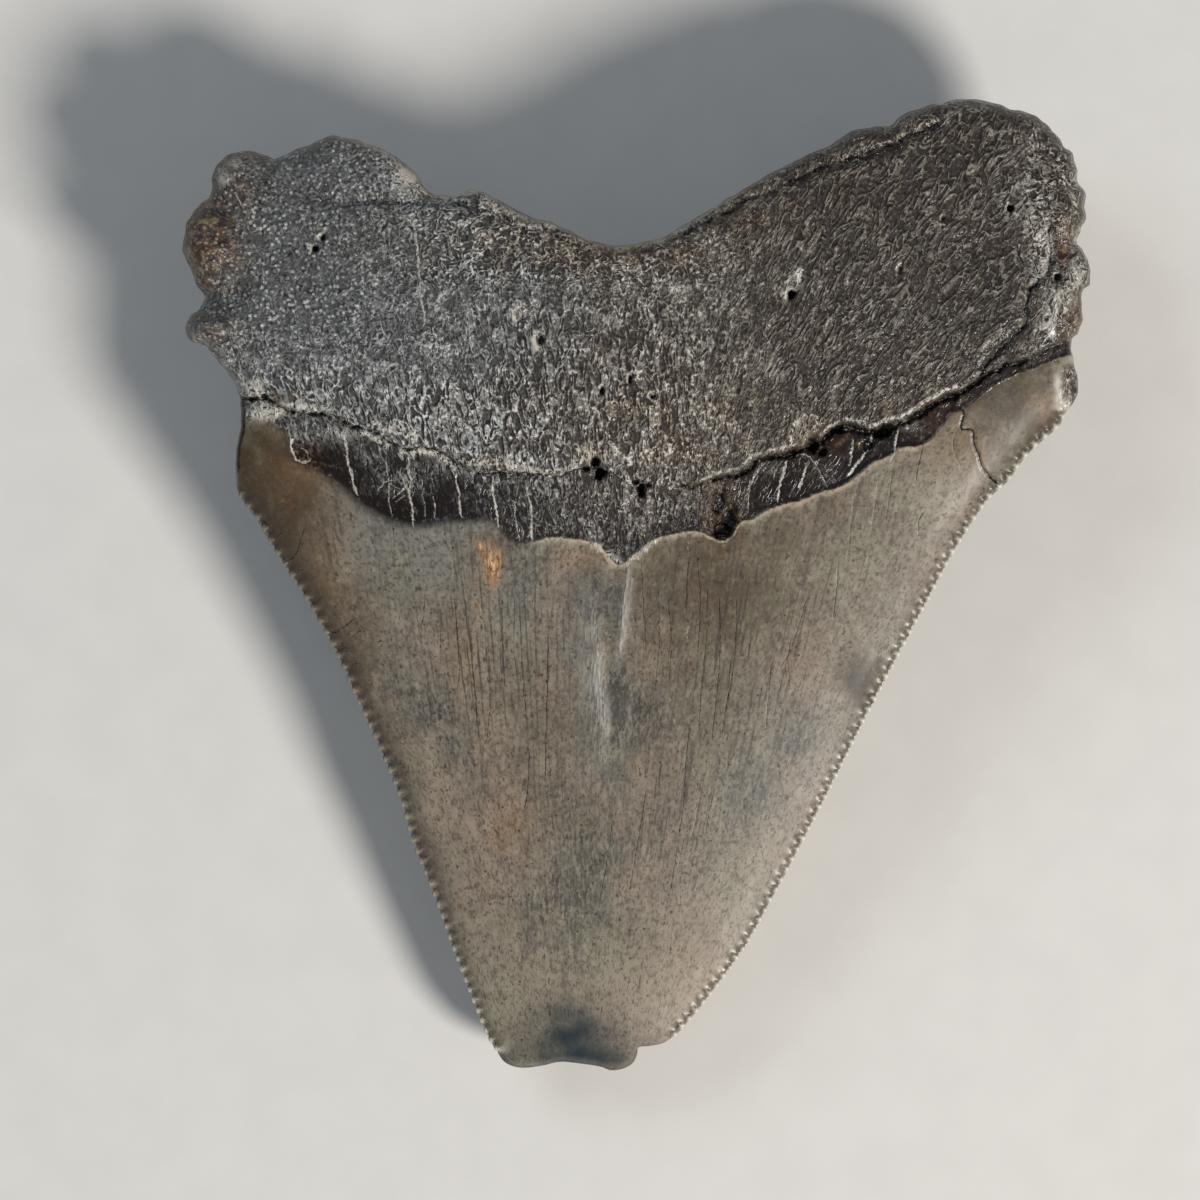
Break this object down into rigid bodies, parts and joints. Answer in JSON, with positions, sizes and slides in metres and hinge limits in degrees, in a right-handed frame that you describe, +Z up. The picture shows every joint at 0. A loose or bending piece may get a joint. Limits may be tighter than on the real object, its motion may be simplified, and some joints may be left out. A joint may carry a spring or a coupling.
{
  "type": "megalodon tooth",
  "caption": "Fossil shark tooth with a broad two-lobed root, a serrated triangular crown and a broken tip, lying on its inner side for display.",
  "frame": {"origin": "on the surface that the tooth lies on, under the middle of its bounding box", "axes": "+Z up, out of the labial face that shows; -Y towards the broken tip, +Y towards the root lobes; +X to the right as seen from above"},
  "size_m": [0.0726, 0.078, 0.0176],
  "materials": {
    "fossil": "mineralised tooth: dark grey pitted root with a dull gloss, near-black band below it, and satin tan-grey enamel with fine dark cracks"
  },
  "bodies": {
    "root": {"tooth": "fossil"}
  },
  "joints": []
}
